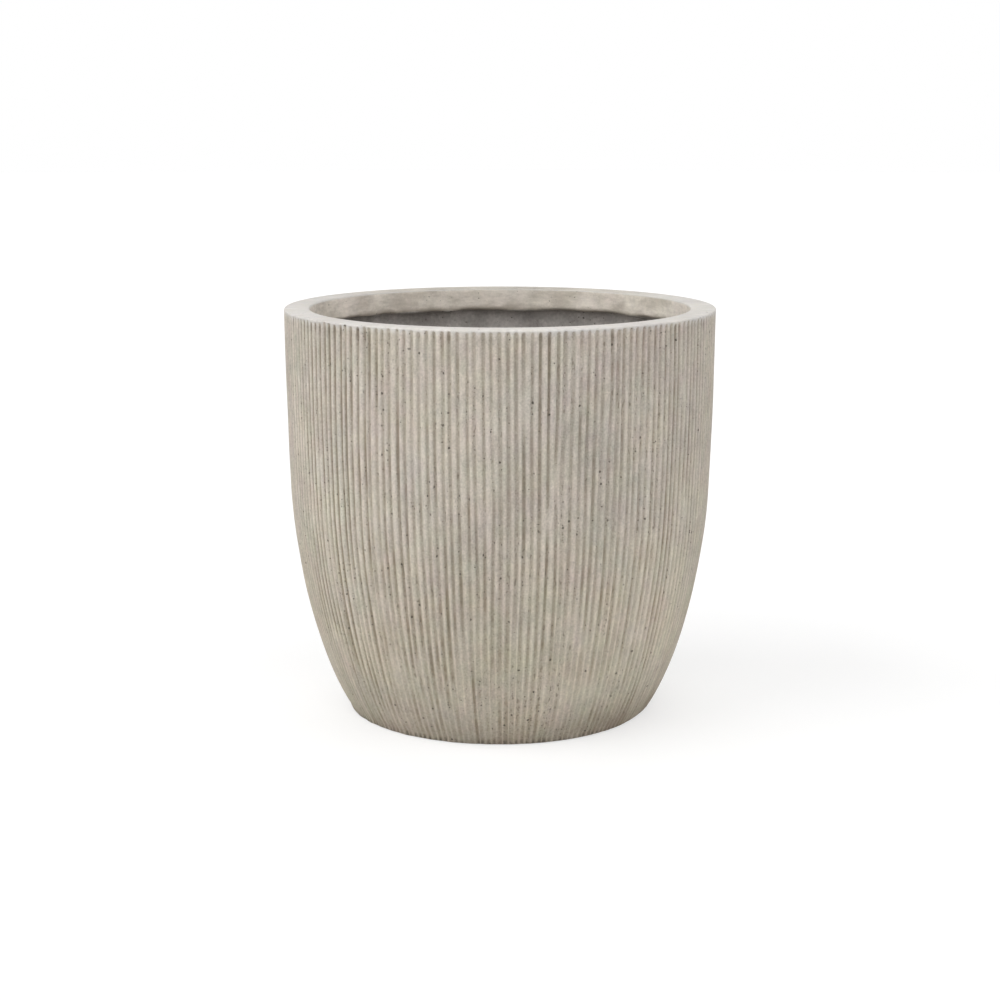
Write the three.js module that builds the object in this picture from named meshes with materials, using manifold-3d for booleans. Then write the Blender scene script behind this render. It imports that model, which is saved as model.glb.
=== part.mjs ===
// A round planter with a fluted side, cast in glass-fibre reinforced concrete, and its drain plug.
// Units are millimetres and +Z is up. The origin is the centre of the foot, on the ground.

import * as THREE from 'three';
import { mergeVertices } from 'three/addons/utils/BufferGeometryUtils.js';
import Module from 'manifold-3d';

const wasm = await Module();
wasm.setup();

// Outline of the side. The pot is widest at its rim. Below that the side is a nearly upright flank
// down to the turn, and a bowl from the turn to the foot.
const HEIGHT = 380;
const RIM_DIAMETER = 400;
const TURN_DIAMETER = 393.2;
const TURN_HEIGHT = 210;
const FOOT_DIAMETER = 283.4;
// Leans are millimetres outward for each millimetre up
const TURN_LEAN = 0.04;
const FOOT_LEAN = 0.69;
// Heights over which the bowl keeps close to its lean at the turn and at the foot
const TURN_HOLD = 67.6;
const FOOT_HOLD = 45.4;
const FOOT_EDGE = 2;

// Flutes: upright ribs side by side, with a groove between each two
const RIB_COUNT = 180;
const GROOVE_DEPTH_AT_RIM = 1.6;
const GROOVE_DEPTH_AT_FOOT = 0.9;
const GROOVE_FADE = 4;

// Rim: a thick lip that turns in over the thinner wall
const RIM_WIDTH = 23.5;
const RIM_EDGE_ROUND = 2.5;
const MOUTH_EDGE_ROUND = 1.5;
const LIP_DEPTH = 22;
const LIP_EDGE_ROUND = 4;
const LIP_UNDERSIDE_DROP = 3;

// Wall, floor and underside
const WALL = 9;
const FLOOR_HEIGHT = 14;
const FLOOR_CORNER_ROUND = 20;
const UNDERSIDE_RECESS_DIAMETER = 200;
const UNDERSIDE_RECESS_DEPTH = 3;
const DRAIN_HOLE_DIAMETER = 25;

// Drain plug: a rubber mushroom pushed in from above, hollow from below
const PLUG_CLEARANCE = 0.3;
const PLUG_HEAD_DIAMETER = 38;
const PLUG_HEAD_THICKNESS = 3;
const PLUG_HEAD_CROWN = 1.2;
const PLUG_SKIRT = 2.4;
const PLUG_SEAL_COUNT = 2;
const PLUG_SEAL_HEIGHT = 2;
const PLUG_SEAL_PROUD = 0.8;
const PLUG_END_PROUD = 1;

// Steps in the curves
const FLANK_STEPS = 2;
const BOWL_STEPS = 5;
const ROUND_STEPS = 2;
const CORNER_STEPS = 4;
const HOLLOW_SIDES = 72;
const PLUG_SIDES = 36;
// How far a cutting shape runs past the faces that it opens
const CUT_PAST = 5;
// How often a search on a curve is halved, and how close points are to be one
const HALVINGS = 40;
const MERGE_WITHIN = 1e-4;

// The side's curves, as radius and height
const foot = new THREE.Vector2(FOOT_DIAMETER / 2, 0);
const turn = new THREE.Vector2(TURN_DIAMETER / 2, TURN_HEIGHT);
const brim = new THREE.Vector2(RIM_DIAMETER / 2, HEIGHT);
const halfFlank = (brim.y - turn.y) / 2;
const bowl = new THREE.CubicBezierCurve(
  foot,
  new THREE.Vector2(foot.x + FOOT_LEAN * FOOT_HOLD, foot.y + FOOT_HOLD),
  new THREE.Vector2(turn.x - TURN_LEAN * TURN_HOLD, turn.y - TURN_HOLD),
  turn,
);
const flank = new THREE.QuadraticBezierCurve(
  turn,
  new THREE.Vector2(turn.x + TURN_LEAN * halfFlank, turn.y + halfFlank),
  brim,
);

// The point on a side curve at t, moved into the wall by a depth square to the side
function inset(curve, t, depth) {
  const along = curve.getTangent(t);
  const point = curve.getPoint(t);
  return new THREE.Vector2(point.x - along.y * depth, point.y + along.x * depth);
}

// The t at which the inset curve reaches a height. The curves climb all the way, so halving finds it.
function reach(curve, height, depth) {
  let low = 0;
  let high = 1;
  for (let i = 0; i < HALVINGS; i += 1) {
    const middle = (low + high) / 2;
    if (inset(curve, middle, depth).y < height) low = middle;
    else high = middle;
  }
  return (low + high) / 2;
}

// Points along a side curve between two values of t, moved into the wall by a depth
function sideRun(curve, from, to, steps, depth) {
  const points = [];
  for (let i = 0; i <= steps; i += 1) {
    points.push(inset(curve, from + ((to - from) * i) / steps, depth));
  }
  return points;
}

// Points on an arc, with angles in degrees from straight outward
function arc(centreX, centreY, radius, fromDegrees, toDegrees, steps) {
  const points = [];
  for (let i = 0; i <= steps; i += 1) {
    const angle = THREE.MathUtils.degToRad(fromDegrees + ((toDegrees - fromDegrees) * i) / steps);
    points.push(new THREE.Vector2(centreX + radius * Math.cos(angle), centreY + radius * Math.sin(angle)));
  }
  return points;
}

const at = (radius, height) => new THREE.Vector2(radius, height);

// Depth of the grooves at a height: none on the rim's rounded edge, full below the fade, and
// shallower towards the foot
const grooveTop = HEIGHT - RIM_EDGE_ROUND;
function grooveDepth(height) {
  const share = height / HEIGHT;
  const full = GROOVE_DEPTH_AT_FOOT + (GROOVE_DEPTH_AT_RIM - GROOVE_DEPTH_AT_FOOT) * share;
  return full * THREE.MathUtils.clamp((grooveTop - height) / GROOVE_FADE, 0, 1);
}

// Outside of the pot from the middle of the foot to the middle of the rim's plane
function outsideProfile() {
  const footEdge = reach(bowl, FOOT_EDGE, 0);
  const fadeEnd = reach(flank, grooveTop - GROOVE_FADE, 0);
  const edgeStart = inset(flank, reach(flank, grooveTop, 0), 0);
  const rounded = arc(edgeStart.x - RIM_EDGE_ROUND, grooveTop, RIM_EDGE_ROUND, 0, 90, ROUND_STEPS);
  return [
    at(0, 0),
    at(foot.x - FOOT_EDGE, 0),
    ...sideRun(bowl, footEdge, 1, BOWL_STEPS, 0),
    ...sideRun(flank, 0, fadeEnd, FLANK_STEPS, 0).slice(1),
    ...rounded,
    at(0, HEIGHT),
  ];
}

// Space inside the pot, its drain hole and the recess under its floor, as one cutting shape
function hollowProfile() {
  const mouth = brim.x - RIM_WIDTH;
  const lipEnd = HEIGHT - LIP_DEPTH;
  const cornerCentreHeight = FLOOR_HEIGHT + FLOOR_CORNER_ROUND;
  const cornerDepth = WALL + FLOOR_CORNER_ROUND;
  const cornerEnd = reach(bowl, cornerCentreHeight, cornerDepth);
  const corner = inset(bowl, cornerEnd, cornerDepth);
  const cornerSide = inset(bowl, cornerEnd, WALL);
  const cornerAngle = THREE.MathUtils.radToDeg(
    Math.atan2(cornerSide.y - corner.y, cornerSide.x - corner.x),
  );
  const wallTop = reach(flank, lipEnd - LIP_UNDERSIDE_DROP, WALL);
  const holeRadius = DRAIN_HOLE_DIAMETER / 2;
  const recessRadius = UNDERSIDE_RECESS_DIAMETER / 2;
  return [
    at(0, -CUT_PAST),
    at(recessRadius, -CUT_PAST),
    at(recessRadius, UNDERSIDE_RECESS_DEPTH),
    at(holeRadius, UNDERSIDE_RECESS_DEPTH),
    at(holeRadius, FLOOR_HEIGHT),
    ...arc(corner.x, corner.y, FLOOR_CORNER_ROUND, -90, cornerAngle, CORNER_STEPS),
    ...sideRun(bowl, cornerEnd, 1, BOWL_STEPS, WALL).slice(1),
    ...sideRun(flank, 0, wallTop, FLANK_STEPS, WALL).slice(1),
    ...arc(mouth + LIP_EDGE_ROUND, lipEnd + LIP_EDGE_ROUND, LIP_EDGE_ROUND, -90, -180, ROUND_STEPS),
    at(mouth, HEIGHT - MOUTH_EDGE_ROUND),
    at(mouth + MOUTH_EDGE_ROUND, HEIGHT),
    at(mouth + MOUTH_EDGE_ROUND, HEIGHT + CUT_PAST),
    at(0, HEIGHT + CUT_PAST),
  ];
}

// Turned shape about +Z, with its shared points merged and no empty triangles at the axis
function turned(profile, sides, move = () => {}) {
  const lathe = new THREE.LatheGeometry(profile, sides);
  lathe.deleteAttribute('normal');
  lathe.deleteAttribute('uv');
  move(lathe.attributes.position, profile.length);
  lathe.rotateX(Math.PI / 2);
  const merged = mergeVertices(lathe, MERGE_WITHIN);
  const index = merged.index.array;
  const kept = [];
  for (let i = 0; i < index.length; i += 3) {
    const [a, b, c] = [index[i], index[i + 1], index[i + 2]];
    if (a !== b && b !== c && c !== a) kept.push(a, b, c);
  }
  merged.setIndex(kept);
  return merged;
}

// Draws in every second column of a turned shape by the depth of the grooves
function flute(position, rows) {
  for (let i = 0; i < position.count; i += 1) {
    const column = Math.floor(i / rows);
    const radius = Math.hypot(position.getX(i), position.getZ(i));
    if (column % 2 === 1 && radius > 0) {
      const share = 1 - grooveDepth(position.getY(i)) / radius;
      position.setX(i, position.getX(i) * share);
      position.setZ(i, position.getZ(i) * share);
    }
  }
}

function toSolid(geometry) {
  return new wasm.Manifold(new wasm.Mesh({
    numProp: 3,
    vertProperties: new Float32Array(geometry.attributes.position.array),
    triVerts: new Uint32Array(geometry.index.array),
  }));
}

function toGeometry(solid) {
  const mesh = solid.getMesh();
  const geometry = new THREE.BufferGeometry();
  geometry.setAttribute('position', new THREE.BufferAttribute(mesh.vertProperties, 3));
  geometry.setIndex(new THREE.BufferAttribute(mesh.triVerts, 1));
  geometry.computeVertexNormals();
  return geometry;
}

// The pot: fluted outside, less the space inside it
function planterShell() {
  const outside = toSolid(turned(outsideProfile(), 2 * RIB_COUNT, flute));
  const hollow = toSolid(turned(hollowProfile(), HOLLOW_SIDES));
  return toGeometry(outside.subtract(hollow));
}

// The plug: its head lies on the floor, and its seals pass through the drain hole
function drainPlug() {
  const seal = DRAIN_HOLE_DIAMETER / 2 - PLUG_CLEARANCE;
  const stem = seal - PLUG_SEAL_PROUD;
  const head = PLUG_HEAD_DIAMETER / 2;
  const end = UNDERSIDE_RECESS_DEPTH - PLUG_END_PROUD;
  const stemLength = FLOOR_HEIGHT - end;
  const sealPitch = stemLength / PLUG_SEAL_COUNT;
  const profile = [at(0, FLOOR_HEIGHT), at(stem - PLUG_SKIRT, FLOOR_HEIGHT), at(stem - PLUG_SKIRT, end)];
  profile.push(at(stem, end));
  for (let i = 0; i < PLUG_SEAL_COUNT; i += 1) {
    const middle = end + sealPitch * (i + 0.5);
    profile.push(at(stem, middle - PLUG_SEAL_HEIGHT / 2));
    profile.push(at(seal, middle));
    profile.push(at(stem, middle + PLUG_SEAL_HEIGHT / 2));
  }
  profile.push(at(stem, FLOOR_HEIGHT));
  profile.push(at(head, FLOOR_HEIGHT));
  profile.push(...arc(
    head - PLUG_HEAD_THICKNESS / 2,
    FLOOR_HEIGHT + PLUG_HEAD_THICKNESS / 2,
    PLUG_HEAD_THICKNESS / 2,
    0,
    90,
    ROUND_STEPS,
  ));
  profile.push(at(0, FLOOR_HEIGHT + PLUG_HEAD_THICKNESS + PLUG_HEAD_CROWN));
  return turned(profile, PLUG_SIDES);
}

function part(name, geometry, colour, roughness) {
  const material = new THREE.MeshStandardMaterial({ color: colour, roughness, metalness: 0 });
  const mesh = new THREE.Mesh(geometry, material);
  mesh.name = name;
  return mesh;
}

const planter = new THREE.Group();
planter.add(part('planter_shell', planterShell(), 0xbdb7ab, 0.9));
planter.add(part('drain_plug', drainPlug(), 0x232323, 0.7));

export default planter;
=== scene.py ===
"""A round fluted planter in cast concrete with its rubber drain plug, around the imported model.

Lengths are metres and +Z is up. The origin is the middle of the foot, on the ground. Azimuths are 0 at
the front, which is -Y, and grow anticlockwise seen from above, so +X is at 90 degrees. They are degrees
in the tables of marks and lamps, and radians elsewhere.
"""

import math

import bpy
import numpy as np
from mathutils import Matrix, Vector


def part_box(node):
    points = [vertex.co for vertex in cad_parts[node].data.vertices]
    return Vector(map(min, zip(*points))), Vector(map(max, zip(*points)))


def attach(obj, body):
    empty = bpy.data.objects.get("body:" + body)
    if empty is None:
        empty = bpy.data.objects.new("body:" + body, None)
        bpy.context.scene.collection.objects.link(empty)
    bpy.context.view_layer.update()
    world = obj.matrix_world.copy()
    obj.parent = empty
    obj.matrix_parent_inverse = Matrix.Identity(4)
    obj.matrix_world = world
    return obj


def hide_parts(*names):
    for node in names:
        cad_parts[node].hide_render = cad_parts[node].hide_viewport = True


MM = 0.001
TURN = 2 * math.pi

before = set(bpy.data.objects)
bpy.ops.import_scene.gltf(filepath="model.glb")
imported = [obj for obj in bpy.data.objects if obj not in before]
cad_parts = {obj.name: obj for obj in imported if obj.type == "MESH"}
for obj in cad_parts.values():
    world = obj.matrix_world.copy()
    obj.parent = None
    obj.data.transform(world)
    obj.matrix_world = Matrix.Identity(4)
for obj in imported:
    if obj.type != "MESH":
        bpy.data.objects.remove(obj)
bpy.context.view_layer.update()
shell_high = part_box("planter_shell")[1]
plug_low, plug_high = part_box("drain_plug")

# Outline of the side, as the solid has it: a nearly upright flank above the turn, a bowl below it
HEIGHT = shell_high.z
RIM_RADIUS = shell_high.x
TURN_RADIUS = 196.6 * MM
TURN_HEIGHT = 210 * MM
TURN_LEAN = 0.04
TURN_HOLD = 67.6 * MM
FOOT_RADIUS = 141.7 * MM
FOOT_LEAN = 0.69
FOOT_HOLD = 45.4 * MM

# Rim, wall, floor and underside, as the solid has them
RIM_WIDTH = 23.5 * MM
MOUTH_EDGE_ROUND = 1.5 * MM
LIP_DEPTH = 22 * MM
LIP_END = HEIGHT - LIP_DEPTH
LIP_EDGE_ROUND = 4 * MM
LIP_UNDERSIDE_DROP = 3 * MM
WALL = 9 * MM
FLOOR_HEIGHT = 14 * MM
FLOOR_CORNER_ROUND = 20 * MM
RECESS_RADIUS = 100 * MM
RECESS_DEPTH = 3 * MM
HOLE_RADIUS = 12.5 * MM
HOLE_EDGE = 0.8 * MM

# Edges, crisp but for one worn side of the foot, given in degrees
RIM_EDGE_ROUND = 1.3 * MM
FOOT_EDGE_ROUND = 1.3 * MM
FOOT_EDGE_WORN = 3.6 * MM
FOOT_WORN_SIDE = 74
FOOT_WORN_WIDE = 30
FOOT_CHIPS = 0.14 * MM

# Flutes: broad, gently rounded ribs with narrower grooves between them, arched at their tops
RIB_COUNT = 180
RIB_PITCH = TURN / RIB_COUNT
RIB_ROUNDING = 0.12
RIB_ROUNDING_LOW = 0.28
RIB_UNEVEN = 0.10 * MM
GROOVE_DEPTH = 1.55 * MM
GROOVE_DEPTH_AT_FOOT = 0.3 * MM
GROOVE_DEEPENS_TO = 0.44
GROOVE_HALF_WIDTH = 0.30
GROOVE_WIDENS_BY = 0.05
GROOVE_BED = 0.43
GROOVE_BED_DEPTH = 0.92
GROOVE_TOP = HEIGHT - 0.6 * MM
GROOVE_TOP_UNEVEN = 0.45 * MM
GROOVE_ARCH = 1.2 * MM
GROOVE_END = 2.6 * MM
SIDE_WAVES = 0.09 * MM
SMEARS = 130

# Unevenness of the flutes: seed, and softness over so many ribs across and levels along
WANDER = (11, 0.4, 20)
WANDER_TOGETHER = (12, 5, 30)
DEPTH_CHANGE = (13, 0.4, 9)
RIB_CHANGE = (14, 0.4, 8)
WIDTH_CHANGE = (16, 0.4, 8)
RIB_STAIN = (17, 0.4, 6)
STAIN_LONG = (18, 0.4, 11)
STAIN_SHORT = (19, 0.3, 2)

# Sides whose grooves get more painted shade, or less where below 0: azimuth, width, strength
GROOVE_PAINTED_SHADE_SIDES = (
    (-58, 30, 1.7),
    (-24, 12, -0.5),
    (26, 22, -0.6),
    (72, 20, 1.3),
    (150, 40, 0.9),
    (215, 35, -0.4),
)
# Places low on the bowl, smoothed or soiled: azimuth, height, width in ribs, reach up and down, strength
WORN = (
    (-76, 48 * MM, 8, 52 * MM, 0.85),
    (28, 50 * MM, 3.5, 22 * MM, 0.80),
    (78, 60 * MM, 7, 56 * MM, 0.65),
    (64, 115 * MM, 8, 60 * MM, 0.50),
    (-33, 62 * MM, 2.5, 24 * MM, 0.60),
    (140, 25 * MM, 5, 34 * MM, 0.75),
    (205, 38 * MM, 6, 30 * MM, 0.75),
)
SOILED = (
    (72, 15 * MM, 5, 13 * MM, 1.0),
    (44, 2 * MM, 12, 20 * MM, 0.75),
    (-40, 3 * MM, 12, 7 * MM, 0.4),
    (8, 2 * MM, 8, 8 * MM, 0.5),
    (170, 9 * MM, 8, 12 * MM, 0.8),
    (238, 5 * MM, 6, 9 * MM, 0.7),
)
# Broad places, described likewise, painted darker, or paler where the strength is below 0: partly tone,
# partly painted light and shade
BROAD_TONE_AND_PAINTED_LIGHT = (
    (-30, 280 * MM, 9, 60 * MM, -0.09),
    (29, 330 * MM, 8, 50 * MM, 0.06),
    (27, 250 * MM, 7, 50 * MM, 0.05),
    (2, 205 * MM, 9, 40 * MM, 0.04),
    (52, 110 * MM, 9, 70 * MM, -0.13),
    (29, 140 * MM, 7, 50 * MM, -0.06),
    (-50, 170 * MM, 7, 90 * MM, -0.08),
    (40, 20 * MM, 12, 20 * MM, 0.11),
    (70, 40 * MM, 6, 32 * MM, 0.05),
    (-46, 34 * MM, 10, 20 * MM, 0.11),
    (-50, 60 * MM, 9, 42 * MM, 0.055),
    (-40, 12 * MM, 12, 16 * MM, -0.06),
    (122, 240 * MM, 10, 70 * MM, -0.07),
    (190, 150 * MM, 9, 60 * MM, 0.07),
    (250, 300 * MM, 8, 60 * MM, 0.06),
)
# Painted light and shade, darker and paler, on sides of the rim and of the lip: azimuth, width, strength
RIM_PAINTED_LIGHT = ((0, 28, -0.07), (180, 55, 0.25))
LIP_PAINTED_LIGHT = ((-90, 45, -0.12), (180, 50, 0.09))

# Steps of the mesh; the side's rows are from one height to another, in millimetres, and so many
RIB_STEPS = 6
COLUMNS = RIB_COUNT * RIB_STEPS
INNER_COLUMNS = COLUMNS // 3
PLUG_COLUMNS = 96
LEVEL_STEP = 2 * MM
LEVELS = int(HEIGHT / LEVEL_STEP) + 2
CURVE_STEPS = 400
SIDE_ROWS = ((5, 21, 5), (21, 362, 42), (362, 372, 4))
TOP_ROWS_FROM = 372 * MM
TOP_ROWS = 12
EDGE_ROWS = 4
WALL_ROWS = 17

# Colours of the concrete and the rubber
RIB_TONE = (0.560, 0.512, 0.443, 1)
RIB_TONE_LOW = (0.549, 0.498, 0.406, 1)
# Grooves' tone: partly their stain, partly painted shade
GROOVE_TONE = (0.268, 0.230, 0.180, 1)
GROOVE_TONE_LOW = (0.262, 0.222, 0.159, 1)
DIRT_TONE = (0.190, 0.165, 0.125, 1)
# Darker low down: partly damp, partly painted shade near the ground
DAMP_AND_SHADE_TONE = (0.240, 0.206, 0.155, 1)
SOIL_TONE = (0.270, 0.210, 0.160, 1)
FOOT_TICKS = (0.110, 0.095, 0.075, 1)
# Painted shade just under the grooves' tops
GROOVE_TOP_SHADE = (0.215, 0.185, 0.145, 1)
LAND_PALE = (0.690, 0.665, 0.635, 1)
LAND_BLOTCHED = (0.620, 0.590, 0.545, 1)
# Painted shade on the back of the rim's flat
LAND_PAINTED_SHADE = (0.640, 0.595, 0.528, 1)
LIP_DARK = (0.530, 0.480, 0.412, 1)
LIP_PALE = (0.735, 0.676, 0.598, 1)
LIP_FLECKS = (0.800, 0.745, 0.670, 1)
# Darker along the lip's lower edge
LIP_LOWER_EDGE_DARK = (0.300, 0.252, 0.200, 1)
RAW_DARK = (0.340, 0.318, 0.298, 1)
RAW_PALE = (0.500, 0.472, 0.447, 1)
# Air holes painted dark as the shade inside them
AIR_HOLE_SHADE = (0.085, 0.074, 0.060, 1)
RUBBER_TONE = (0.022, 0.022, 0.022, 1)
RUBBER_DUST = (0.085, 0.080, 0.072, 1)
WHITE = (1, 1, 1, 1)

# Tints of patches and of small spots: how far each channel swings, and what both swings are added to
TINT_SWING = (0.10, 0.13, 0.10)
FINE_TINT_SWING = (0.07, 0.10, 0.07)
TINT_BASE = (0.921, 0.885, 0.912)

# Air holes: width of the cells that may have one, and radius
LARGE_HOLES = (8.5 * MM, 1.15 * MM)
MIDDLING_HOLES = (4.2 * MM, 0.66 * MM)
SMALL_HOLES = (2.3 * MM, 0.45 * MM)
FLECKS = (3.4 * MM, 0.55 * MM)


# Curves and soft noise

def bezier(points, t):
    """Points of a Bezier curve through any number of control points."""
    layer = [np.outer(np.ones_like(t), p) for p in points]
    while len(layer) > 1:
        layer = [a + (b - a) * t[:, None] for a, b in zip(layer[:-1], layer[1:])]
    return layer[0]


def side_curve():
    """Dense points of the outside from the foot to the brim, with their outward directions."""
    t = np.linspace(0, 1, CURVE_STEPS)
    foot = np.array([FOOT_RADIUS, 0])
    turn = np.array([TURN_RADIUS, TURN_HEIGHT])
    brim = np.array([RIM_RADIUS, HEIGHT])
    half = (HEIGHT - TURN_HEIGHT) / 2
    bowl = bezier([
        foot,
        foot + FOOT_HOLD * np.array([FOOT_LEAN, 1]),
        turn - TURN_HOLD * np.array([TURN_LEAN, 1]),
        turn,
    ], t)
    flank = bezier([turn, turn + half * np.array([TURN_LEAN, 1]), brim], t)
    points = np.concatenate([bowl, flank[1:]])
    along = np.gradient(points, axis=0)
    along /= np.linalg.norm(along, axis=1)[:, None]
    return points, np.stack([along[:, 1], -along[:, 0]], 1)


SIDE, SIDE_OUT = side_curve()


def side_at(heights):
    """Radius and outward direction of the outside at some heights."""
    radius = np.interp(heights, SIDE[:, 1], SIDE[:, 0])
    out = np.stack([np.interp(heights, SIDE[:, 1], SIDE_OUT[:, k]) for k in (0, 1)], -1)
    return radius, out


def arc(centre, radius, start, end, steps):
    """Points of an arc from one angle to another, in degrees."""
    angle = np.radians(np.linspace(start, end, steps + 1))
    return [(centre[0] + radius * math.cos(a), centre[1] + radius * math.sin(a)) for a in angle]


def smooth_step(low, high, x):
    """0 below low, 1 above high and a smooth rise between them."""
    t = np.clip((x - low) / (high - low), 0, 1)
    return t * t * (3 - 2 * t)


def soft_noise(seed, columns, across, along, levels=LEVELS):
    """An even random field that closes round the pot, softened over so many columns and levels."""
    field = np.random.default_rng(seed).standard_normal((columns, 2 * levels))
    a = np.fft.fftfreq(columns)[:, None]
    b = np.fft.fftfreq(2 * levels)[None]
    keep = np.exp(-2 * (math.pi * a * across) ** 2 - 2 * (math.pi * b * along) ** 2)
    soft = np.fft.ifft2(np.fft.fft2(field) * keep).real[:, :levels]
    return (soft - soft.mean()) / soft.std()


def soft_ring(seed, columns, across):
    """A soft random line round the pot."""
    return soft_noise(seed, columns, across, 0.1, 2)[:, 0]


def at_heights(field, heights):
    """Values of a field given at even levels, at other heights, with the heights first."""
    place = np.clip(heights / LEVEL_STEP, 0, field.shape[1] - 1.001)
    low = place.astype(int)
    part = place - low
    return (field[:, low] * (1 - part) + field[:, low + 1] * part).T


def uneven(seed, columns, across, along, heights):
    """Soft noise at some heights."""
    return at_heights(soft_noise(seed, columns, across, along), heights)


def degrees_from(azimuth, degrees):
    """How far azimuths are from one given in degrees, at most half a turn either way."""
    return (np.degrees(azimuth) - degrees + 180) % 360 - 180


def round_side(azimuth, sides):
    """Sum of the strengths of some sides at azimuths."""
    total = 0 * azimuth
    for degrees, wide, strength in sides:
        total = total + strength * np.exp(-(degrees_from(azimuth, degrees) / wide) ** 2)
    return total


# The fluted side

def left_by(places):
    """Field of ribs and levels that is 1, and less by their strength round some places."""
    left = np.ones((RIB_COUNT, LEVELS))
    rib = np.arange(RIB_COUNT)[:, None]
    level = np.arange(LEVELS)[None] * LEVEL_STEP
    for degrees, height, wide, tall, strength in places:
        away = np.abs(rib - (degrees % 360) * RIB_COUNT / 360)
        away = np.minimum(away, RIB_COUNT - away) / wide
        left *= 1 - strength * np.exp(-away ** 2 - ((level - height) / tall) ** 2)
    return left


def smears():
    """Share of each groove's depth that is kept, less where wet concrete filled it in."""
    rng = np.random.default_rng(41)
    places = []
    for _ in range(SMEARS):
        height = HEIGHT * rng.uniform(0, 1) ** 1.7
        size = (rng.uniform(0.3, 0.8), rng.uniform(5, 22) * MM)
        places.append((rng.uniform(0, 360), height, *size, rng.uniform(0.3, 0.9)))
    return left_by(places) * left_by(WORN)


def along_ribs(kind, heights):
    """One kind of unevenness for every rib at some heights."""
    seed, across, along = kind
    return uneven(seed, RIB_COUNT, across, along, heights)


def stains_and_shade_at(heights, share, loose, own_groove, own_rib):
    """Stain and painted shade of every groove, and stain of every rib, at some heights."""
    stain_and_painted_shade = 0.50 * own_groove + 0.55 * along_ribs(STAIN_LONG, heights)
    stain_and_painted_shade = stain_and_painted_shade + 0.65 * along_ribs(STAIN_SHORT, heights)
    # Painted shade in the grooves, more on some sides and less on others
    side_painted_shade = round_side(RIB_PITCH * np.arange(RIB_COUNT), GROOVE_PAINTED_SHADE_SIDES)
    stain_and_painted_shade = stain_and_painted_shade + side_painted_shade[None] * smooth_step(0.1, 0.6, share)
    rib_stain = 0.6 * own_rib + 0.6 * along_ribs(RIB_STAIN, heights)
    return stain_and_painted_shade * (1 + 0.4 * loose), rib_stain


def following(values, turn=0.0):
    """The next rib's values."""
    return np.concatenate([values[:, 1:], values[:, :1] + turn], 1)


def ribs_at(heights):
    """Azimuth, depth, groove share, stain and painted shade, soil, and tone and painted light of every
    column at some heights.
    """
    fixed = np.random.default_rng(7).standard_normal((6, RIB_COUNT)).clip(-2, 2)
    own_place, own_depth, own_width, own_top, own_stain, own_rib_stain = fixed[:, None]
    drift = along_ribs(WANDER, heights)
    together = along_ribs(WANDER_TOGETHER, heights)
    wander = 0.08 * own_place + 0.02 * drift + 0.010 * drift ** 3 + 0.08 * together
    middle = RIB_PITCH * (np.arange(RIB_COUNT)[None] + wander.clip(-0.35, 0.35))

    share = heights[:, None] / HEIGHT
    deepening = smooth_step(0, GROOVE_DEEPENS_TO, share)
    full = GROOVE_DEPTH_AT_FOOT + (GROOVE_DEPTH - GROOVE_DEPTH_AT_FOOT) * deepening
    loose = 1 - smooth_step(0.08, 0.50, share)
    change = 1 + 0.08 * own_depth + (0.10 + 0.22 * loose) * along_ribs(DEPTH_CHANGE, heights)
    depth = full * change.clip(0.3, 1.3) * at_heights(smears(), heights)
    widen = 1 + 0.06 * own_width + 0.05 * along_ribs(WIDTH_CHANGE, heights)
    half = RIB_PITCH * (GROOVE_HALF_WIDTH + GROOVE_WIDENS_BY * loose) * widen.clip(0.75, 1.15)
    rounding = RIB_ROUNDING + (RIB_ROUNDING_LOW - RIB_ROUNDING) * loose
    crest = RIB_UNEVEN * (1.2 + along_ribs(RIB_CHANGE, heights)).clip(0, 3)
    top = GROOVE_TOP + GROOVE_TOP_UNEVEN * own_top
    stain_and_painted_shade, rib_stain = stains_and_shade_at(heights, share, loose, own_stain, own_rib_stain)
    soil = 1 - at_heights(left_by(SOILED), heights)
    # Broad places painted darker or paler: partly uneven tone, partly painted light and shade
    tone_and_painted_light = at_heights(left_by(BROAD_TONE_AND_PAINTED_LIGHT), heights) - 1

    next_middle = following(middle, TURN)
    next_half = following(half)
    rib_middle = (middle + half + next_middle - next_half) / 2
    right = (depth, top, stain_and_painted_shade)
    left = tuple(following(values) for values in right)

    def column(azimuth, own, groove_share, arch):
        deep, start, colour = own
        fade = smooth_step(0, GROOVE_END, start - arch * GROOVE_ARCH - heights[:, None])
        groove = deep * groove_share * fade
        edge = 1 - groove_share
        colour = colour * groove_share + rib_stain * edge
        return azimuth, groove + crest * edge * fade, groove / full, colour, soil, tone_and_painted_light

    columns = [
        column(middle, right, 1.0, 0.0),
        column(middle + GROOVE_BED * half, right, GROOVE_BED_DEPTH, 0.2),
        column(middle + half, right, rounding, 0.8),
        column(rib_middle, right, 0.0, 1.0),
        column(next_middle - next_half, left, rounding, 0.8),
        column(next_middle - GROOVE_BED * next_half, left, GROOVE_BED_DEPTH, 0.2),
    ]
    return [np.stack(values, 2).reshape(len(heights), -1) for values in zip(*columns)]


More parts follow.
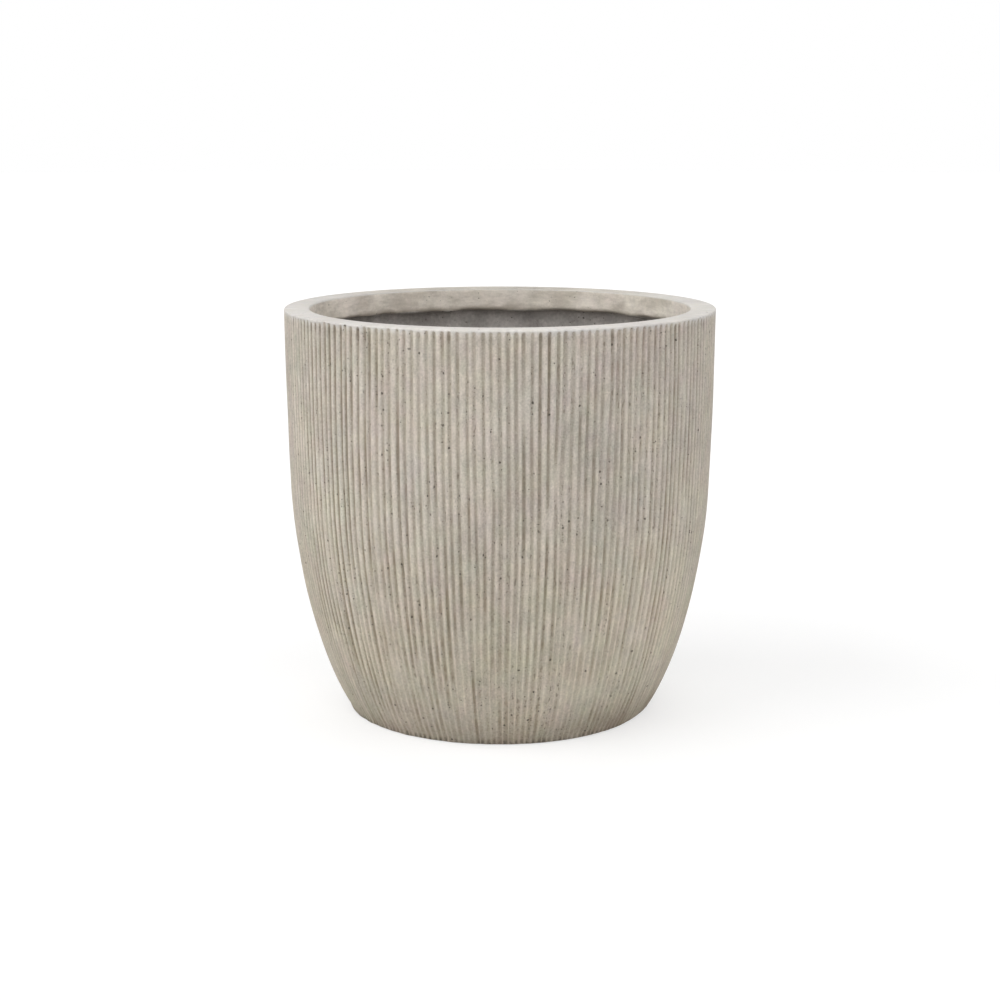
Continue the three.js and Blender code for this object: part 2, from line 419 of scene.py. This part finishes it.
def outer_rings():
    """Rings of the outside from the flat of the foot to the flat of the rim."""
    rim_centre = HEIGHT - RIM_EDGE_ROUND
    side = [np.linspace(low, high, rows, endpoint=False) * MM for low, high, rows in SIDE_ROWS]
    side = np.concatenate([*side, np.linspace(TOP_ROWS_FROM, rim_centre, TOP_ROWS)])
    foot_turn = np.linspace(0, math.pi / 2, EDGE_ROWS, endpoint=False)
    foot_heights = side[0] * (1 - np.cos(foot_turn))
    rim_turn = np.linspace(0, math.pi / 2, EDGE_ROWS + 1)[1:]
    rim_heights = rim_centre + RIM_EDGE_ROUND * np.sin(rim_turn)
    heights = np.concatenate([foot_heights, side, rim_heights])
    azimuth, depth, groove, stain_and_painted_shade, soil, tone_and_painted_light = ribs_at(heights)

    wave = SIDE_WAVES * (1 + uneven(20, COLUMNS, 14, 7, heights)).clip(0, 3)
    depth = depth + wave * smooth_step(0, 6 * MM, HEIGHT - heights)[:, None]
    radius, out = side_at(np.minimum(heights, rim_centre))
    radius = radius[:, None] + 0 * azimuth
    chips = soft_ring(31, COLUMNS, 3).clip(-2, 2)
    worn = degrees_from(azimuth[:EDGE_ROWS], FOOT_WORN_SIDE) / FOOT_WORN_WIDE
    foot_round = FOOT_EDGE_ROUND + FOOT_EDGE_WORN * np.exp(-worn ** 2) + FOOT_CHIPS * chips
    radius[:EDGE_ROWS] -= foot_round * (1 - np.sin(foot_turn))[:, None]
    radius[-EDGE_ROWS:] -= (RIM_EDGE_ROUND * (1 - np.cos(rim_turn)))[:, None]
    rise = out[:, 1] * smooth_step(0, 8 * MM, heights)
    x = radius - depth * out[:, :1]
    z = heights[:, None] - depth * rise[:, None]
    z[:EDGE_ROWS] *= np.minimum(1, 1.2 * foot_round / side[0])

    none = 0 * x[:1]
    foot_flat = (x[:1] - 8 * MM, none, azimuth[:1], none, stain_and_painted_shade[:1], soil[:1], none)
    # Painted highlight on the front of the rim's flat and painted shade at its back
    rim_light_and_shade = -round_side(azimuth[-1:], RIM_PAINTED_LIGHT)
    tone_and_painted_light = tone_and_painted_light + rim_light_and_shade * smooth_step(HEIGHT - 3 * MM, HEIGHT - 1 * MM, heights)[:, None]
    rim_flat = [
        (RIM_RADIUS - inward + none, HEIGHT + none, azimuth[-1:], none, stain_and_painted_shade[-1:], none, rim_light_and_shade)
        for inward in (5.5 * MM, 9.5 * MM)
    ]
    parts = [foot_flat, (x, z, azimuth, groove, stain_and_painted_shade, soil, tone_and_painted_light), *rim_flat]
    return [np.concatenate(values) for values in zip(*parts)]


# The inside, floor and underside

def inner_outline():
    """Points of the inside from the rim's flat, down the wall, through the hole to the foot's flat."""
    mouth = RIM_RADIUS - RIM_WIDTH
    wall = SIDE - WALL * SIDE_OUT
    deep = SIDE - (WALL + FLOOR_CORNER_ROUND) * SIDE_OUT
    at = int(np.argmin(np.abs(deep[:CURVE_STEPS, 1] - FLOOR_HEIGHT - FLOOR_CORNER_ROUND)))
    corner, corner_side = deep[at], wall[at]
    corner_angle = math.degrees(math.atan2(*(corner_side - corner)[::-1]))
    wall_heights = np.linspace(LIP_END - LIP_UNDERSIDE_DROP, corner_side[1], WALL_ROWS)
    wall_radii = np.interp(wall_heights, wall[at:, 1], wall[at:, 0])

    mouth_edge = (mouth + MOUTH_EDGE_ROUND, HEIGHT - MOUTH_EDGE_ROUND)
    lip_edge = (mouth + LIP_EDGE_ROUND, LIP_END + LIP_EDGE_ROUND)
    points = [(mouth + 8 * MM, HEIGHT)]
    points += arc(mouth_edge, MOUTH_EDGE_ROUND, 90, 180, 3)
    points += [(mouth, z) for z in np.linspace(mouth_edge[1], lip_edge[1], 6)[1:-1]]
    points += arc(lip_edge, LIP_EDGE_ROUND, 180, 270, 5)
    points += [(mouth + LIP_EDGE_ROUND + 5 * MM, LIP_END - 1 * MM)]
    points += list(zip(wall_radii, wall_heights))
    points += arc(corner, FLOOR_CORNER_ROUND, corner_angle, -90, 6)[1:]
    points += [(r * MM, FLOOR_HEIGHT) for r in (110, 80, 50, 24)]
    points += [
        (HOLE_RADIUS + HOLE_EDGE, FLOOR_HEIGHT),
        (HOLE_RADIUS, FLOOR_HEIGHT - HOLE_EDGE),
        (HOLE_RADIUS, RECESS_DEPTH + HOLE_EDGE),
        (HOLE_RADIUS + HOLE_EDGE, RECESS_DEPTH),
        (50 * MM, RECESS_DEPTH),
        (RECESS_RADIUS - 2 * MM, RECESS_DEPTH),
        (RECESS_RADIUS, RECESS_DEPTH - 1 * MM),
        (RECESS_RADIUS, 1 * MM),
        (RECESS_RADIUS + 1 * MM, 0),
        (FOOT_RADIUS - 22 * MM, 0),
    ]
    return np.array(points)


def inner_rings():
    """Rings of the inside, uneven as hand-packed concrete is, apart from its seats and flats."""
    outline = inner_outline()
    azimuth = TURN * np.arange(INNER_COLUMNS) / INNER_COLUMNS
    r = outline[:, :1] + 0 * azimuth[None]
    z = outline[:, 1:] + 0 * azimuth[None]
    on_band = smooth_step(0, 4 * MM, HEIGHT - MOUTH_EDGE_ROUND - z) * (z > LIP_END - 0.1 * MM)
    above_recess = (r > 60 * MM) * (z > RECESS_DEPTH + 1 * MM)
    below = smooth_step(0, 4 * MM, LIP_END - 2 * MM - z) * above_recess
    upright = smooth_step(FLOOR_HEIGHT, FLOOR_HEIGHT + FLOOR_CORNER_ROUND, z)
    level = (1 - upright) * (r < 150 * MM)

    heights = outline[:, 1]
    slow = uneven(21, INNER_COLUMNS, 9, 8, heights)
    quick = uneven(22, INNER_COLUMNS, 2.5, 3, heights)
    r = r + 0.15 * MM * slow * on_band
    r = r - (0.5 * slow + 0.25 * quick).clip(-1.2, 1.2) * MM * below * upright
    z = z + (0.35 * slow + 0.2 * quick).clip(-0.8, 0.8) * MM * below * level
    edge = soft_ring(23, INNER_COLUMNS, 5) + 0.7 * soft_ring(24, INNER_COLUMNS, 1.4)
    under_rim = (r < RIM_RADIUS - 12 * MM) * (z > LIP_END - 4 * MM)
    near_lip = smooth_step(12 * MM, 0, np.abs(z - LIP_END)) * under_rim
    z = z + 0.55 * MM * edge[None] * near_lip

    azimuth = np.repeat(azimuth[None], len(r), 0)
    on_lip = (z > LIP_END - 1 * MM) * (z < HEIGHT - 0.3 * MM)
    on_rim = z > HEIGHT - 0.3 * MM
    # Painted light and shade on the sides of the lip and of the rim's flat
    tone_and_painted_light = round_side(azimuth, LIP_PAINTED_LIGHT) * on_lip + round_side(azimuth, RIM_PAINTED_LIGHT) * on_rim
    return r, z, azimuth, 0 * r, 0 * r, 0 * r, -tone_and_painted_light


# Meshes

def to_points(radius, height, azimuth):
    """Points from their radii, heights and azimuths."""
    around = [radius * np.sin(azimuth), -radius * np.cos(azimuth), height]
    return np.stack(around, -1).reshape(-1, 3)


def ring_quads(start, rings, columns):
    """Faces between neighbouring rings of the same number of columns."""
    c = np.arange(columns)
    n = (c + 1) % columns
    rows = start + columns * np.arange(rings - 1)[:, None]
    quads = np.stack([rows + c, rows + n, rows + columns + n, rows + columns + c], -1)
    return quads.reshape(-1, 4)


def bridge(fine, coarse, fine_first):
    """Faces between a ring of three times the columns and the ring beside it."""
    i = np.arange(INNER_COLUMNS)
    b0 = coarse + i
    b1 = coarse + (i + 1) % INNER_COLUMNS
    a = [fine + (3 * i + k) % COLUMNS for k in range(4)]
    if fine_first:
        faces = [(a[0], a[1], b0), (a[1], b1, b0), (a[1], a[2], b1), (a[2], a[3], b1)]
    else:
        faces = [(b0, a[1], a[0]), (b0, b1, a[1]), (b1, a[2], a[1]), (b1, a[3], a[2])]
    return np.concatenate([np.stack(face, -1) for face in faces])


def link_new(name, data):
    """An object of a mesh, lamp or camera, put in the scene."""
    made = bpy.data.objects.new(name, data)
    bpy.context.scene.collection.objects.link(made)
    return made


def make_mesh(name, points, faces, attributes=None):
    """A smooth object from points and faces, with numbers kept on its points."""
    mesh = bpy.data.meshes.new(name)
    mesh.from_pydata(points.tolist(), [], [list(f) for group in faces for f in group.tolist()])
    mesh.update()
    mesh.polygons.foreach_set("use_smooth", np.ones(len(mesh.polygons), bool))
    for key, values in (attributes or {}).items():
        kept = mesh.attributes.new(key, "FLOAT", "POINT")
        kept.data.foreach_set("value", values.astype(np.float32).ravel())
    return link_new(name, mesh)


def make_shell():
    """The pot: outside and inside rings, joined over the rim's flat and over the foot's."""
    outer = outer_rings()
    inner = inner_rings()
    points = np.concatenate([to_points(*outer[:3]), to_points(*inner[:3])])
    outer_count = outer[0].size
    land_ring = outer_count - COLUMNS
    last_inner = outer_count + (len(inner[0]) - 1) * INNER_COLUMNS
    faces = [
        ring_quads(0, len(outer[0]), COLUMNS),
        bridge(land_ring, outer_count, True),
        ring_quads(outer_count, len(inner[0]), INNER_COLUMNS),
        bridge(0, last_inner, False),
    ]
    inside = np.concatenate([np.zeros(outer_count), np.ones(len(points) - outer_count)])
    attributes = {"inside": inside}
    for key, on_outer, on_inner in zip(("groove", "stain_and_painted_shade", "soil", "tone_and_painted_light"), outer[3:], inner[3:]):
        attributes[key] = np.concatenate([on_outer.ravel(), on_inner.ravel()])
    return make_mesh("fluted_pot", points, faces, attributes)


def plug_outline():
    """Points of the plug from the middle of its hollow, round its stem and head, to its crown."""
    head = plug_high.x
    crown = plug_high.z
    end = plug_low.z
    head_edge = 1.5 * MM
    skirt_edge = 0.5 * MM
    hollow_edge = 0.6 * MM
    seal = HOLE_RADIUS - 0.3 * MM
    stem = seal - 0.8 * MM
    skirt = stem - 2.4 * MM
    low = FLOOR_HEIGHT + 0.05 * MM
    length = FLOOR_HEIGHT - end
    outline = [
        (0.0, low),
        (skirt - hollow_edge, low),
        (skirt, low - hollow_edge),
        (skirt, end + skirt_edge),
        (skirt + skirt_edge, end),
        (stem - skirt_edge, end),
        (stem, end + skirt_edge),
    ]
    for bead in range(2):
        middle = end + length / 2 * (bead + 0.5)
        for share in np.linspace(-1, 1, 7):
            bulge = (seal - stem) * math.cos(share * math.pi / 2)
            outline.append((stem + bulge, middle + share * MM))
    outline += [(stem, low), (head - 0.4 * MM, low)]
    outline += arc((head - head_edge, low + head_edge), head_edge, -30, 90, 6)
    rise = crown - (low + 2 * head_edge)
    for share in (0.92, 0.75, 0.5, 0.25):
        height = low + 2 * head_edge + rise * (1 - share ** 2)
        outline.append(((head - head_edge) * share, height))
    outline.append((0.0, crown))
    return np.array(outline)


def make_plug():
    """A moulded rubber plug: crowned head, two sealing beads, hollow stem."""
    outline = plug_outline()
    turned = outline[1:-1]
    azimuth = np.repeat(TURN * np.arange(PLUG_COLUMNS)[None] / PLUG_COLUMNS, len(turned), 0)
    radius = turned[:, :1] + 0 * azimuth
    height = turned[:, 1:] + 0 * azimuth
    ends = [[0, 0, outline[0, 1]], [0, 0, outline[-1, 1]]]
    points = np.concatenate([to_points(radius, height, azimuth), ends])
    c = np.arange(PLUG_COLUMNS)
    n = (c + 1) % PLUG_COLUMNS
    last = (len(turned) - 1) * PLUG_COLUMNS
    under, over = len(points) - 2, len(points) - 1
    faces = [
        ring_quads(0, len(turned), PLUG_COLUMNS),
        np.stack([n, c, np.full_like(c, under)], -1),
        np.stack([last + c, last + n, np.full_like(c, over)], -1),
    ]
    return make_mesh("rubber_plug", points, faces)


# Node trees

class Nodes:
    """A node tree, with short ways to add nodes and link them."""

    def __init__(self, tree):
        self.tree = tree

    def add(self, kind, inputs=None, **settings):
        node = self.tree.nodes.new("ShaderNode" + kind)
        for key, value in settings.items():
            setattr(node, key, value)
        for key, value in (inputs or {}).items():
            self.put(node.inputs[key], value)
        return node

    def put(self, socket, value):
        if isinstance(value, bpy.types.NodeSocket):
            self.tree.links.new(value, socket)
        else:
            socket.default_value = value

    def attribute(self, name):
        return self.add("Attribute", attribute_name=name).outputs["Fac"]

    def math(self, operation, a, b=0.0, clamp=False):
        return self.add("Math", {0: a, 1: b}, operation=operation, use_clamp=clamp).outputs[0]

    def total(self, *terms):
        result = terms[0]
        for term in terms[1:]:
            result = self.math("ADD", result, term)
        return result

    def product(self, *terms):
        result = terms[0]
        for term in terms[1:]:
            result = self.math("MULTIPLY", result, term)
        return result

    def ramp(self, value, low, high, to_low=0.0, to_high=1.0):
        """A value from low to high as a share from to_low to to_high, smooth and kept in those ends."""
        node = self.add("MapRange", {
            "Value": value,
            "From Min": low,
            "From Max": high,
            "To Min": to_low,
            "To Max": to_high,
        }, interpolation_type="SMOOTHSTEP")
        return node.outputs["Result"]

    def around(self, noise, spread):
        """A noise round 0.5 as an offset round 0, of that spread."""
        return self.math("MULTIPLY", self.math("SUBTRACT", noise, 0.5), spread)

    def noise(self, where, scale, detail=2.0, roughness=0.5, output="Fac"):
        inputs = {"Vector": where, "Scale": scale, "Detail": detail, "Roughness": roughness}
        return self.add("TexNoise", inputs).outputs[output]

    def mix(self, share, a, b, blend="MIX"):
        node = self.add("Mix", data_type="RGBA", blend_type=blend)
        self.put(node.inputs[0], share)
        self.put(node.inputs[6], a)
        self.put(node.inputs[7], b)
        return node.outputs[2]

    def scaled(self, colour, factor):
        node = self.add("VectorMath", {0: colour}, operation="SCALE")
        self.put(node.inputs["Scale"], factor)
        return node.outputs["Vector"]

    def swung(self, noise, swing, base):
        """A coloured noise times a swing of each channel, added to a base."""
        inputs = {0: noise, 1: swing, 2: base}
        return self.add("VectorMath", inputs, operation="MULTIPLY_ADD").outputs["Vector"]

    def upright(self, where, share):
        """A place whose height counts for that share, so that a noise there is stretched along it."""
        return self.add("Mapping", {"Vector": where, "Scale": (1, 1, share)}).outputs[0]

    def pits(self, where, size, kept):
        """Round spots: of the cells of that width, a share has one of that radius."""
        cell, radius = size
        cells = self.add("TexVoronoi", {"Vector": where, "Scale": 1 / cell})
        distance = cells.outputs["Distance"]
        near = self.ramp(distance, 0.6 * radius / cell, 1.25 * radius / cell, 1.0, 0.0)
        split = self.add("SeparateColor", {"Color": cells.outputs["Color"]})
        chosen = self.math("LESS_THAN", split.outputs[0], kept)
        return self.math("MULTIPLY", near, chosen)

    def seen(self):
        """1 for a ray from the camera, a mirror or glass, and 0 for other rays."""
        path = self.add("LightPath").outputs
        mirrored = self.math("MAXIMUM", path["Is Glossy Ray"], path["Is Transmission Ray"])
        return self.math("MAXIMUM", path["Is Camera Ray"], mirrored)


def new_material(name, kind=Nodes):
    """A material with its nodes and its shader."""
    material = bpy.data.materials.new(name)
    material.use_nodes = True
    nodes = kind(material.node_tree)
    return material, nodes, nodes.tree.nodes["Principled BSDF"]


# The concrete

class Concrete(Nodes):
    """The concrete's nodes, with the places and noises that its layers share."""

    def __init__(self, tree):
        super().__init__(tree)
        self.where = self.add("TexCoord").outputs["Object"]
        self.height = self.add("SeparateXYZ", {"Vector": self.where}).outputs["Z"]
        self.groove = self.attribute("groove")
        self.stain_and_painted_shade = self.attribute("stain_and_painted_shade")
        self.tone_and_painted_light = self.attribute("tone_and_painted_light")
        self.inside = self.attribute("inside")
        self.patch = self.noise(self.where, 16, 3.0, 0.55)
        self.blotch = self.noise(self.where, 75, 3.0, 0.6)
        self.streak = self.noise(self.upright(self.where, 0.25), 330, 2.5, 0.6)
        self.speckle = self.noise(self.where, 520, 3.0, 0.7)
        self.coarse = self.noise(self.where, 30, 4.0, 0.65)
        self.gritty = self.noise(self.where, 240, 4.0, 0.7)

    def between(self, low, high, to_low=0.0, to_high=1.0):
        """A ramp of the height."""
        return self.ramp(self.height, low, high, to_low, to_high)

    def fluted_face(self):
        """Pale worn ribs; grooves darkened partly by stain and partly by painted shade."""
        low_down = self.between(260 * MM, 60 * MM)
        rib_tone = self.mix(low_down, RIB_TONE, RIB_TONE_LOW)
        groove_tone = self.mix(low_down, GROOVE_TONE, GROOVE_TONE_LOW)
        varied = self.total(
            self.product(self.stain_and_painted_shade, 0.20),
            self.around(self.streak, 1.0),
            self.around(self.blotch, 0.7),
        )
        # Groove darkening: partly stain, partly painted shade
        groove_stain_and_shade = self.math("ADD", self.between(30 * MM, 130 * MM, 0.28, 0.53), varied)
        groove_stain_and_shade = self.product(groove_stain_and_shade, self.between(HEIGHT - 7 * MM, HEIGHT - 1 * MM, 1.0, 0.3))
        return self.mix(self.math("MULTIPLY", self.groove, groove_stain_and_shade, True), rib_tone, groove_tone)

    def dirtied(self, face):
        """Dirt in the grooves, darkening low down that is partly damp and partly painted shade near the
        ground, soil low down, and dark ticks where grooves meet the ground.
        """
        dirt = self.product(
            self.ramp(self.noise(self.upright(self.where, 0.35), 420, 1.5), 0.56, 0.70),
            self.ramp(self.groove, 0.3, 0.8),
            self.ramp(self.patch, 0.40, 0.60),
        )
        face = self.mix(self.math("MULTIPLY", dirt, 0.65), face, DIRT_TONE)
        # Darker towards the foot: partly damp, partly painted shade near the ground
        damp_and_shade = self.product(
            self.between(1 * MM, 36 * MM, 1.0, 0.0),
            self.ramp(self.blotch, 0.35, 0.7, 0.4, 1.0),
            self.ramp(self.groove, 0.0, 0.8, 0.8, 1.0),
            0.6,
        )
        face = self.mix(damp_and_shade, face, DAMP_AND_SHADE_TONE)
        soiled = self.product(
            self.attribute("soil"),
            self.ramp(self.blotch, 0.3, 0.65, 0.35, 1.0),
            0.75,
        )
        face = self.mix(soiled, face, SOIL_TONE)
        ticks = self.product(
            self.between(2 * MM, 8 * MM, 1.0, 0.0),
            self.ramp(self.groove, 0.2, 0.8),
            self.ramp(self.streak, 0.35, 0.60),
            0.75,
        )
        return self.mix(ticks, face, FOOT_TICKS)

    def shaded_under_groove_tops(self, face):
        """Painted shade in the grooves just under their tops."""
        under_groove_tops = self.product(
            self.between(HEIGHT - 15 * MM, HEIGHT - 7 * MM),
            self.between(HEIGHT - 5 * MM, HEIGHT - 2 * MM, 1.0, 0.0),
            self.ramp(self.groove, 0.15, 0.6),
            self.ramp(self.stain_and_painted_shade, 0.2, 2.4),
            0.65,
        )
        return self.mix(under_groove_tops, face, GROOVE_TOP_SHADE)

    def rim(self):
        """The rim's flat, rubbed pale and smooth, warmer and darker at the back as painted shade: where
        it is, and its colour.
        """
        out_of_groove = self.ramp(self.groove, 0.1, 0.6, 1.0, 0.0)
        land = self.math("MULTIPLY", self.between(HEIGHT - 7.5 * MM, HEIGHT - 0.6 * MM), out_of_groove)
        tone = self.mix(self.ramp(self.blotch, 0.35, 0.7), LAND_PALE, LAND_BLOTCHED)
        # Back of the flat: painted shade, warmer and darker
        tone = self.mix(self.ramp(self.tone_and_painted_light, -0.20, -0.05, 1.0, 0.0), tone, LAND_PAINTED_SHADE)
        return land, tone

    def lip(self):
        """The lip's inner face, smooth, mottled and darker along its lower edge: where, and its colour.
        """
        mottle = self.noise(self.upright(self.where, 2.4), 26, 4.0, 0.6)
        tone = self.mix(self.ramp(mottle, 0.34, 0.64), LIP_DARK, LIP_PALE)
        trowelled = self.noise(self.upright(self.where, 3.5), 120, 4.0, 0.65)
        tone = self.scaled(tone, self.math("ADD", 1.0, self.around(trowelled, 0.45)))
        flecks = self.pits(self.where, FLECKS, self.ramp(mottle, 0.45, 0.65, 0.04, 0.35))
        tone = self.mix(self.math("MULTIPLY", flecks, 0.45), tone, LIP_FLECKS)
        lower_edge_dark = self.math("ADD", self.height, self.around(self.coarse, 14 * MM))
        lower_edge_dark = self.ramp(lower_edge_dark, LIP_END - 1 * MM, LIP_END + 6 * MM, 0.55, 0.0)
        tone = self.mix(lower_edge_dark, tone, LIP_LOWER_EDGE_DARK)
        below_rim = self.between(HEIGHT - 0.8 * MM, HEIGHT - 2.0 * MM)
        return self.math("MULTIPLY", self.inside, below_rim), tone

    def raw_inside(self):
        """The raw inside, grey and blotched: where it is, and its colour."""
        tone = self.mix(self.ramp(self.coarse, 0.3, 0.7), RAW_DARK, RAW_PALE)
        tone = self.scaled(tone, self.math("ADD", 1.0, self.around(self.gritty, 0.6)))
        edge = self.math("ADD", self.height, self.around(self.blotch, 3 * MM))
        below_lip = self.ramp(edge, LIP_END + 1.0 * MM, LIP_END - 0.4 * MM)
        return self.math("MULTIPLY", self.inside, below_lip), tone

    def varied(self, tone, fluted):
        """A colour with its level and its tint uneven, calmer where it isn't fluted, with broad tone and
        painted light, and a painted highlight along the ribs' crests, most low down.
        """
        calmer = self.ramp(fluted, 0.0, 1.0, 0.35, 1.0)
        # Painted highlight along the rib crests, strongest low down, with the shoulders a little darker
        crest = self.math("SUBTRACT", self.ramp(self.groove, 0.0, 0.20, 1.0, 0.0), 0.2)
        crest = self.product(crest, self.between(80 * MM, 190 * MM, 0.11, 0.02), fluted)
        level = self.total(
            0.996,
            # Broad tone together with painted light and shade of places and sides
            self.tone_and_painted_light,
            crest,
            self.around(self.patch, 0.38),
            self.around(self.blotch, 0.38),
            self.math("MULTIPLY", self.around(self.streak, 0.50), fluted),
            self.math("MULTIPLY", self.around(self.speckle, 0.76), calmer),
            self.product(self.stain_and_painted_shade, 0.030),
        )
        hue = self.noise(self.where, 24, 3.0, 0.6, "Color")
        fine_hue = self.noise(self.upright(self.where, 0.45), 110, 2.0, 0.6, "Color")
        tint = self.swung(fine_hue, FINE_TINT_SWING, self.swung(hue, TINT_SWING, TINT_BASE))
        return self.mix(calmer, self.scaled(tone, level), tint, "MULTIPLY")

    def air_holes(self, raw):
        """Air holes, mostly in the grooves, in chains down them and gathered in places."""
        chain = self.noise(self.upright(self.where, 0.3), 130, 1.0)
        gathered = self.noise(self.where, 21, 2.0)
        likely = self.product(
            self.ramp(self.groove, 0.2, 0.7, 0.08, 1.0),
            self.ramp(chain, 0.46, 0.58, 0.15, 1.3),
            self.ramp(gathered, 0.42, 0.60, 0.30, 1.6),
        )
        likely = self.total(likely, self.math("MULTIPLY", raw, 0.3))
        bent = self.scaled(self.noise(self.where, 900, 1.0, 0.5, "Color"), 1.6 * MM)
        bent = self.add("VectorMath", {0: self.where, 1: bent}, operation="ADD").outputs["Vector"]
        in_patches = self.ramp(self.patch, 0.4, 0.6, 0.3, 1.2)
        large = self.pits(bent, LARGE_HOLES, self.math("MULTIPLY", likely, 0.75))
        middling = self.pits(bent, MIDDLING_HOLES, self.math("MULTIPLY", likely, 0.85))
        small = self.pits(bent, SMALL_HOLES, self.math("MULTIPLY", likely, in_patches))
        smaller = self.math("MAXIMUM", middling, self.math("MULTIPLY", small, 0.65))
        return self.math("MAXIMUM", large, smaller)


def concrete():
    """Cast concrete: fluted face, rubbed rim, smooth lip and raw inside."""
    material, nodes, shader = new_material("cast_concrete", Concrete)
    face = nodes.shaded_under_groove_tops(nodes.dirtied(nodes.fluted_face()))
    land, land_tone = nodes.rim()
    band, band_tone = nodes.lip()
    raw, raw_tone = nodes.raw_inside()
    tone = nodes.mix(land, face, land_tone)
    tone = nodes.mix(band, tone, band_tone)
    tone = nodes.mix(raw, tone, raw_tone)
    fluted = nodes.math("SUBTRACT", 1.0, nodes.math("MAXIMUM", land, band))
    tone = nodes.varied(tone, fluted)
    holes = nodes.air_holes(raw)
    # Air holes painted dark as the shade inside them
    tone = nodes.mix(nodes.math("MULTIPLY", holes, 0.90), tone, AIR_HOLE_SHADE)
    relief = nodes.total(
        nodes.product(nodes.speckle, 0.45),
        nodes.product(raw, nodes.gritty, 2.0),
        nodes.math("MULTIPLY", holes, -1.0),
    )
    bump = nodes.add("Bump", {"Height": relief, "Distance": 0.5 * MM, "Strength": 0.6})
    nodes.put(shader.inputs["Base Color"], tone)
    nodes.put(shader.inputs["Roughness"], nodes.ramp(nodes.blotch, 0.2, 0.8, 0.95, 0.82))
    nodes.put(shader.inputs["Normal"], bump.outputs["Normal"])
    shader.inputs["Specular IOR Level"].default_value = 0.35
    return material


def rubber():
    """Black rubber with a little dust."""
    material, nodes, shader = new_material("black_rubber")
    where = nodes.add("TexCoord").outputs["Object"]
    dust = nodes.ramp(nodes.noise(where, 260, 4.0, 0.6), 0.45, 0.75, 0.0, 0.35)
    grain = nodes.noise(where, 1500, 2.0)
    bump = nodes.add("Bump", {"Height": grain, "Distance": 0.1 * MM, "Strength": 0.3})
    nodes.put(shader.inputs["Base Color"], nodes.mix(dust, RUBBER_TONE, RUBBER_DUST))
    nodes.put(shader.inputs["Roughness"], nodes.ramp(dust, 0.0, 0.35, 0.5, 0.75))
    nodes.put(shader.inputs["Normal"], bump.outputs["Normal"])
    return material


# The pieces on their bodies

pot = make_shell()
pot.data.materials.append(concrete())
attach(pot, "planter")
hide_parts("planter_shell")

plug = make_plug()
plug.data.materials.append(rubber())
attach(plug, "plug")
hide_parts("drain_plug")


# Floor, light and camera

FLOOR_RADIUS = 14.0
FLOOR_STEPS = 96
FLOOR_COLOUR = (0.50, 0.50, 0.50, 1)
FLOOR_GLOW = 0.56
SKY_LEVEL = 0.18
SKY_LEAN = (0.0, 0.0, 0.18)
LAMP_SPREAD = 60
# name, azimuth from the front, elevation, and level, where 1 alone lights white as white
LAMPS = (
    ("left_light", -70, 33, 0.55),
    ("right_light", 70, 24, 0.338),
    ("front_light", -1, 24, 0.32),
    ("back_light", 180, 40, 0.22),
)
CAMERA_DISTANCE = 1.8779
CAMERA_HEIGHT = 0.5714
CAMERA_PITCH_DOWN = 11.305
CAMERA_SENSOR = 36.0
CAMERA_FOCAL_SHARE = 2.01894


def make_floor():
    """A pale floor that reads as white where no shadow falls."""
    angle = TURN * np.arange(FLOOR_STEPS) / FLOOR_STEPS
    edge = np.stack([FLOOR_RADIUS * np.cos(angle), FLOOR_RADIUS * np.sin(angle), 0 * angle], -1)
    c = np.arange(FLOOR_STEPS)
    faces = [np.stack([np.zeros_like(c), 1 + c, 1 + (c + 1) % FLOOR_STEPS], -1)]
    floor = make_mesh("floor", np.concatenate([[[0, 0, 0]], edge]), faces)
    material, nodes, shader = new_material("floor_paint")
    shader.inputs["Base Color"].default_value = FLOOR_COLOUR
    shader.inputs["Roughness"].default_value = 0.9
    shader.inputs["Specular IOR Level"].default_value = 0.1
    glow = nodes.add("Emission", {
        "Color": WHITE,
        "Strength": nodes.math("MULTIPLY", nodes.seen(), FLOOR_GLOW),
    })
    both = nodes.add("AddShader", {0: shader.outputs[0], 1: glow.outputs[0]})
    nodes.put(nodes.tree.nodes["Material Output"].inputs["Surface"], both.outputs[0])
    floor.data.materials.append(material)


def make_world():
    """Soft light from all round, brighter from above; the camera sees white."""
    world = bpy.data.worlds.new("studio")
    bpy.context.scene.world = world
    world.use_nodes = True
    nodes = Nodes(world.node_tree)
    nodes.tree.nodes.clear()
    upward = {0: nodes.add("TexCoord").outputs["Generated"], 1: SKY_LEAN}
    lean = nodes.add("VectorMath", upward, operation="DOT_PRODUCT").outputs["Value"]
    level = nodes.math("MAXIMUM", nodes.math("ADD", lean, SKY_LEVEL), 0.0)
    light = nodes.add("Background", {"Color": WHITE, "Strength": level})
    white = nodes.add("Background", {"Color": WHITE})
    both = nodes.add("MixShader", {0: nodes.seen(), 1: light.outputs[0], 2: white.outputs[0]})
    nodes.add("OutputWorld", {"Surface": both.outputs[0]})


def make_soft_light(name, azimuth, elevation, level):
    """A broad distant light from an azimuth and elevation."""
    data = bpy.data.lights.new(name, "SUN")
    data.energy = math.pi * level
    data.angle = math.radians(LAMP_SPREAD)
    lamp = link_new(name, data)
    lamp.rotation_euler = (math.radians(90 - elevation), 0.0, math.radians(azimuth))


def make_camera():
    """The photograph's view, found by fitting the rim's and foot's outlines."""
    data = bpy.data.cameras.new("camera")
    data.sensor_width = CAMERA_SENSOR
    data.lens = CAMERA_SENSOR * CAMERA_FOCAL_SHARE
    camera = link_new("camera", data)
    camera.location = (0.0, -CAMERA_DISTANCE, CAMERA_HEIGHT)
    camera.rotation_euler = (math.pi / 2 - math.radians(CAMERA_PITCH_DOWN), 0.0, 0.0)
    bpy.context.scene.camera = camera


make_floor()
make_world()
for lamp in LAMPS:
    make_soft_light(*lamp)
make_camera()
bpy.context.scene.view_settings.view_transform = "Standard"
